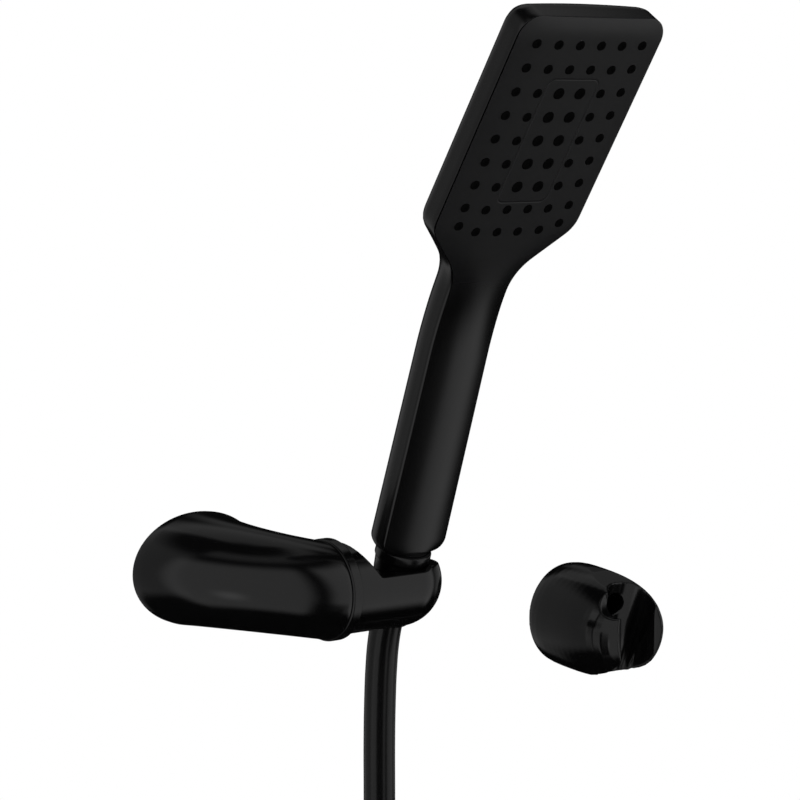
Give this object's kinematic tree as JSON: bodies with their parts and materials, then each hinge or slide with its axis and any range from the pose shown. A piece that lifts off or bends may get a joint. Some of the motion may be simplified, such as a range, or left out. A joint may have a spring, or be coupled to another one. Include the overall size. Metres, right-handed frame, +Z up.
{
  "type": "hand shower set",
  "caption": "Flat rectangular hand shower on its hose, carried by a tilting cradle on a curved wall arm, with a second fixed wall holder.",
  "frame": {"origin": "middle of the bracket's oval foot, on the wall plane", "axes": "+Z up along the wall, +Y into the wall, +X along the wall from the bracket's foot towards the cradle and the second holder"},
  "size_m": [0.2726, 0.1692, 0.5316],
  "materials": {
    "gloss_black": "glossy black",
    "bracket_black": "glossy black",
    "nut_black": "glossy black",
    "hose_black": "smooth satin black",
    "nozzle_rubber": "matt black silicone",
    "seal_rubber": "matt black",
    "tie_rubber": "matt black",
    "inner_plastic": "plain dark grey",
    "brass": "turned",
    "plate_steel": "plain",
    "spring_steel": "bright"
  },
  "bodies": {
    "wall_side": {"wall_plate": "plate_steel", "bracket_arm": "bracket_black", "grub_screw": "spring_steel", "arm_collar": "bracket_black", "fixed_holder": "bracket_black"},
    "cradle_side": {"rear_shell": "gloss_black", "front_shell": "gloss_black", "rain_nozzles": "nozzle_rubber", "massage_nozzles": "nozzle_rubber", "spray_chamber": "inner_plastic", "button_spring": "spring_steel", "water_tube": "inner_plastic", "inlet_connector": "nut_black", "inlet_washer": "seal_rubber", "conical_nut": "nut_black", "hose_flange": "brass", "hose_tube": "hose_black", "hose_coil": "hose_black", "coil_tie": "tie_rubber", "hose_tail": "hose_black", "end_flange": "brass", "end_nut": "nut_black", "end_washer": "seal_rubber", "cradle": "bracket_black", "pivot_screw": "spring_steel", "spring_washer": "spring_steel", "friction_ring": "seal_rubber"},
    "selector": {"selector_button": "gloss_black", "button_seal": "seal_rubber"}
  },
  "joints": [
    {"name": "cradle_tilt", "type": "hinge", "parent": "wall_side", "child": "cradle_side", "pos_m": [0.041, -0.042, -0.008], "axis": [1, 0, 0], "range_deg": [-19, 25]},
    {"name": "selector_press", "type": "slide", "parent": "cradle_side", "child": "selector", "axis": [0, -0.8329, -0.5534], "range_m": [0, 0.002], "stiffness_N_per_m": 1500, "springref_m": -0.001, "deforming": ["button_spring"]}
  ]
}
